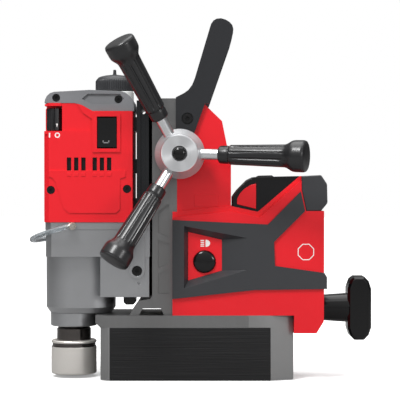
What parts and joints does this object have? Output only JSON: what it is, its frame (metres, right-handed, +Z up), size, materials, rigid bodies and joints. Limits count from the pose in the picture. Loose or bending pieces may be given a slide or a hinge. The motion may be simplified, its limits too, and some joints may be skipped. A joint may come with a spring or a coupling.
{
  "type": "magnetic drill press",
  "caption": "Battery magnetic drill press: switchable magnet foot, column with rack feed and spoked hub, geared motor head with quick-change arbor, coolant bottle.",
  "frame": {"origin": "centre of the magnet's bottom face, which rests on the work", "axes": "+Z up, away from the work; the spindle is at -X and the magnet lever at +X; the feed handle is on the -Y side and the coolant bottle on the +Y side"},
  "size_m": [0.3484, 0.1995, 0.3628],
  "materials": {
    "cast_grey": "cast aluminium, satin grey coat",
    "column_grey": "cast aluminium, ground faces",
    "magnet_black": "ground steel, blackened",
    "pole_brass": "plain",
    "rail_steel": "ground dark steel",
    "shaft_steel": "ground",
    "bolt_black": "black oxide",
    "polished_chrome": "polished",
    "nickel_steel": "satin nickel plated",
    "arbor_steel": "dark polished",
    "red_shell": "satin moulded nylon",
    "black_overmold": "soft matt",
    "grip_rubber": "satin soft grip",
    "black_plastic": "moulded",
    "cap_grey": "moulded, dark grey",
    "case_black": "moulded",
    "board_green": "circuit board",
    "cell_blue": "wrapped cells",
    "winding_copper": "laminations and windings",
    "bottle_white": "translucent polyethylene",
    "hose_clear": "clear soft tube",
    "fitting_metal": "nickel-plated brass",
    "lamp_black": "moulded lamp body"
  },
  "bodies": {
    "base": {"base_column": "column_grey", "magnet_poles": "magnet_black", "pole_spacers": "pole_brass", "front_end_plate": "cast_grey", "rear_end_block": "cast_grey", "base_screws": "bolt_black", "lever_bearings": "cast_grey", "gib_strip": "pole_brass", "pinion_bushes": "pole_brass", "shaft_cap": "black_plastic", "housing_near": "red_shell", "housing_far": "red_shell", "overmold_near": "black_overmold", "overmold_far": "black_overmold", "rear_bumper": "black_overmold", "light_panel": "red_shell", "control_board": "board_green", "bay_terminals": "pole_brass", "housing_screws": "bolt_black", "handle": "black_plastic"},
    "carriage": {"slide_rail": "rail_steel", "feed_rack": "shaft_steel", "gearbox_body": "cast_grey", "gearbox_cover": "cast_grey", "spindle_nose": "cast_grey", "head_bearings": "shaft_steel", "motor_shell_near": "red_shell", "motor_shell_far": "red_shell", "top_cap": "cap_grey", "head_spacers": "bolt_black", "stator": "winding_copper", "head_screws": "bolt_black", "work_light": "lamp_black", "coolant_bottle": "bottle_white", "bottle_bracket": "black_plastic", "coolant_fitting": "fitting_metal", "coolant_hose": "hose_clear"},
    "spindle": {"spindle": "shaft_steel", "arbor": "arbor_steel", "arbor_pins": "shaft_steel"},
    "collar": {"arbor_collar": "nickel_steel"},
    "layshaft": {"layshaft": "shaft_steel"},
    "motor_rotor": {"motor_rotor": "shaft_steel"},
    "feed": {"pinion_shaft": "shaft_steel", "feed_hub": "polished_chrome", "spoke_rods": "polished_chrome", "spoke_grips": "grip_rubber"},
    "hub_button": {"hub_button": "lamp_black"},
    "magnet_lever": {"lever_shaft": "shaft_steel", "lever_knob": "black_plastic"},
    "magnet_rotor": {"magnet_rotor": "rail_steel"},
    "battery": {"battery_case_near": "case_black", "battery_case_far": "case_black", "battery_accents": "red_shell", "battery_cells": "cell_blue"},
    "battery_release": {"battery_release": "black_plastic"},
    "light_button": {"light_button": "lamp_black"},
    "power_switch": {"power_switch": "black_plastic"},
    "rocker_switch": {"rocker_switch": "lamp_black"},
    "coolant_cap": {"coolant_cap": "black_plastic"}
  },
  "joints": [
    {"name": "carriage_feed", "type": "slide", "parent": "base", "child": "carriage", "axis": [0, 0, 1], "range_m": [0, 0.146]},
    {"name": "feed_turn", "type": "hinge", "parent": "base", "child": "feed", "pos_m": [-0.017, 0, 0.2268], "axis": [0, 1, 0], "range_deg": [0, 698]},
    {"name": "hub_button_press", "type": "slide", "parent": "feed", "child": "hub_button", "axis": [0, 1, 0], "range_m": [0, 0.003], "stiffness_N_per_m": 300},
    {"name": "spindle_spin", "type": "hinge", "parent": "carriage", "child": "spindle", "pos_m": [-0.1265, 0, 0.06], "axis": [0, 0, 1], "continuous": true},
    {"name": "layshaft_spin", "type": "hinge", "parent": "carriage", "child": "layshaft", "pos_m": [-0.10745, 0.01984, 0.13], "axis": [0, 0, 1], "continuous": true},
    {"name": "rotor_spin", "type": "hinge", "parent": "carriage", "child": "motor_rotor", "pos_m": [-0.11, 0, 0.2], "axis": [0, 0, 1], "continuous": true},
    {"name": "collar_lift", "type": "slide", "parent": "spindle", "child": "collar", "axis": [0, 0, 1], "range_m": [0, 0.006], "stiffness_N_per_m": 400, "springref_m": -0.005},
    {"name": "magnet_rotor_turn", "type": "hinge", "parent": "base", "child": "magnet_rotor", "pos_m": [0, 0, 0.0268], "axis": [1, 0, 0], "range_deg": [-180, 0]},
    {"name": "magnet_lever_turn", "type": "hinge", "parent": "base", "child": "magnet_lever", "pos_m": [0.1, 0, 0.0703], "axis": [1, 0, 0], "range_deg": [0, 180]},
    {"name": "battery_lift", "type": "slide", "parent": "base", "child": "battery", "axis": [0, 0, 1], "range_m": [0, 0.11]},
    {"name": "battery_release_press", "type": "slide", "parent": "battery", "child": "battery_release", "axis": [0, 0, -1], "range_m": [0, 0.002], "stiffness_N_per_m": 400},
    {"name": "light_press", "type": "slide", "parent": "base", "child": "light_button", "axis": [0, 1, 0], "range_m": [0, 0.002], "stiffness_N_per_m": 400},
    {"name": "power_switch_turn", "type": "hinge", "parent": "carriage", "child": "power_switch", "pos_m": [-0.1435, -0.0315, 0.26], "axis": [0, 0, 1], "range_deg": [-40, 0]},
    {"name": "rocker_tilt", "type": "hinge", "parent": "carriage", "child": "rocker_switch", "pos_m": [-0.09, -0.04, 0.2485], "axis": [1, 0, 0], "range_deg": [-4, 4]},
    {"name": "coolant_cap_turn", "type": "hinge", "parent": "carriage", "child": "coolant_cap", "pos_m": [-0.088, 0.064, 0.3], "axis": [0, 0, 1], "range_deg": [0, 270]}
  ],
  "couplings": [
    {"joint": "feed_turn", "follows": "carriage_feed", "rad_per_m": 83.333},
    {"joint": "layshaft_spin", "follows": "spindle_spin", "ratio": -3.4},
    {"joint": "rotor_spin", "follows": "spindle_spin", "ratio": 10.2},
    {"joint": "magnet_lever_turn", "follows": "magnet_rotor_turn", "ratio": -1}
  ]
}
